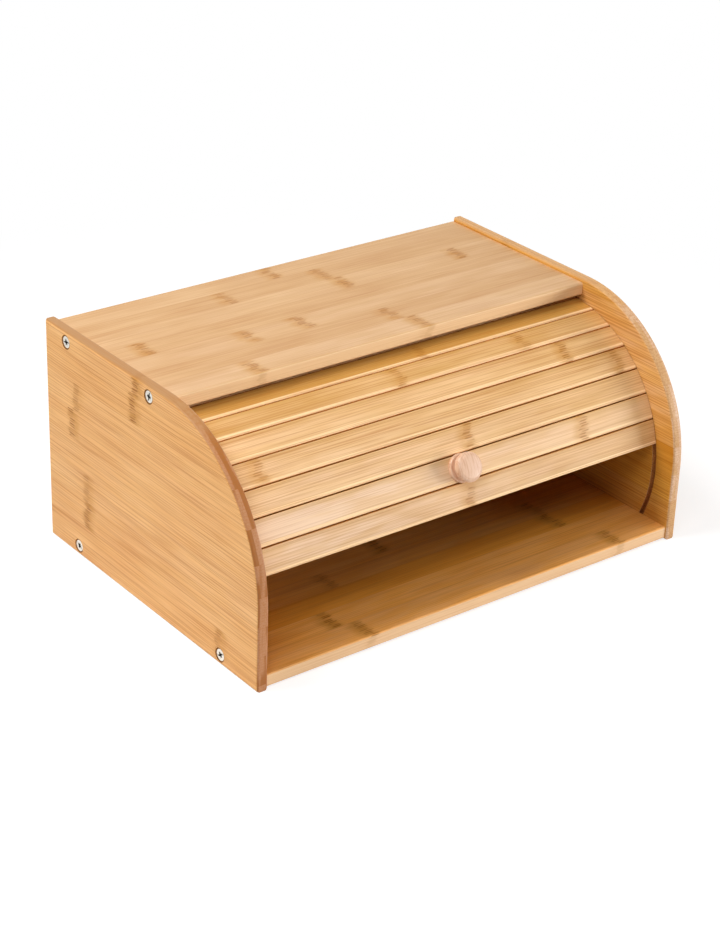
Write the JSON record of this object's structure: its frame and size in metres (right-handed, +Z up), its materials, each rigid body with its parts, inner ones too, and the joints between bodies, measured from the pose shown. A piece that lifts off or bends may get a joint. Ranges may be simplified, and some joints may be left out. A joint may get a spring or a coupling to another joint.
{
  "type": "roll-top bread box",
  "caption": "Bamboo bread box with curved side panels and a roll-top door: a curtain of wooden slats with a turned knob that runs in routed grooves and opens upward and back.",
  "frame": {"origin": "under the middle of the box, on the surface that it stands on", "axes": "+X along the width to the right as seen from the front, +Y from the front to the back, +Z up; the door faces -Y"},
  "size_m": [0.39, 0.27, 0.176],
  "materials": {
    "bamboo_side": "satin lacquered bamboo, fine dark streaks along the depth",
    "bamboo_board": "satin lacquered bamboo strips along the width",
    "bamboo_panel": "satin bamboo panel",
    "bamboo_slat": "satin lacquered bamboo, soft edges",
    "turned_wood": "turned pale wood, satin",
    "canvas": "natural woven cotton",
    "steel": "bright zinc-plated screw"
  },
  "bodies": {
    "case": {"side_left": "bamboo_side", "side_right": "bamboo_side", "top_board": "bamboo_board", "bottom_board": "bamboo_board", "back_panel": "bamboo_panel", "side_screws_left_top": "steel", "side_screws_left_bottom": "steel", "side_screws_right_top": "steel", "side_screws_right_bottom": "steel"},
    "door": {"slat_01": "bamboo_slat", "slat_02": "bamboo_slat", "slat_03": "bamboo_slat", "slat_04": "bamboo_slat", "slat_05": "bamboo_slat", "slat_06": "bamboo_slat", "slat_07": "bamboo_slat", "slat_08": "bamboo_slat", "slat_09": "bamboo_slat", "slat_10": "bamboo_slat", "slat_11": "bamboo_slat", "tambour_canvas": "canvas", "knob": "turned_wood", "knob_screw": "steel"}
  },
  "joints": [
    {"name": "door_roll", "type": "hinge", "parent": "case", "child": "door", "pos_m": [0, -0.0102, 0.052], "axis": [-1, 0, 0], "range_deg": [-34.5, 50.5]}
  ]
}
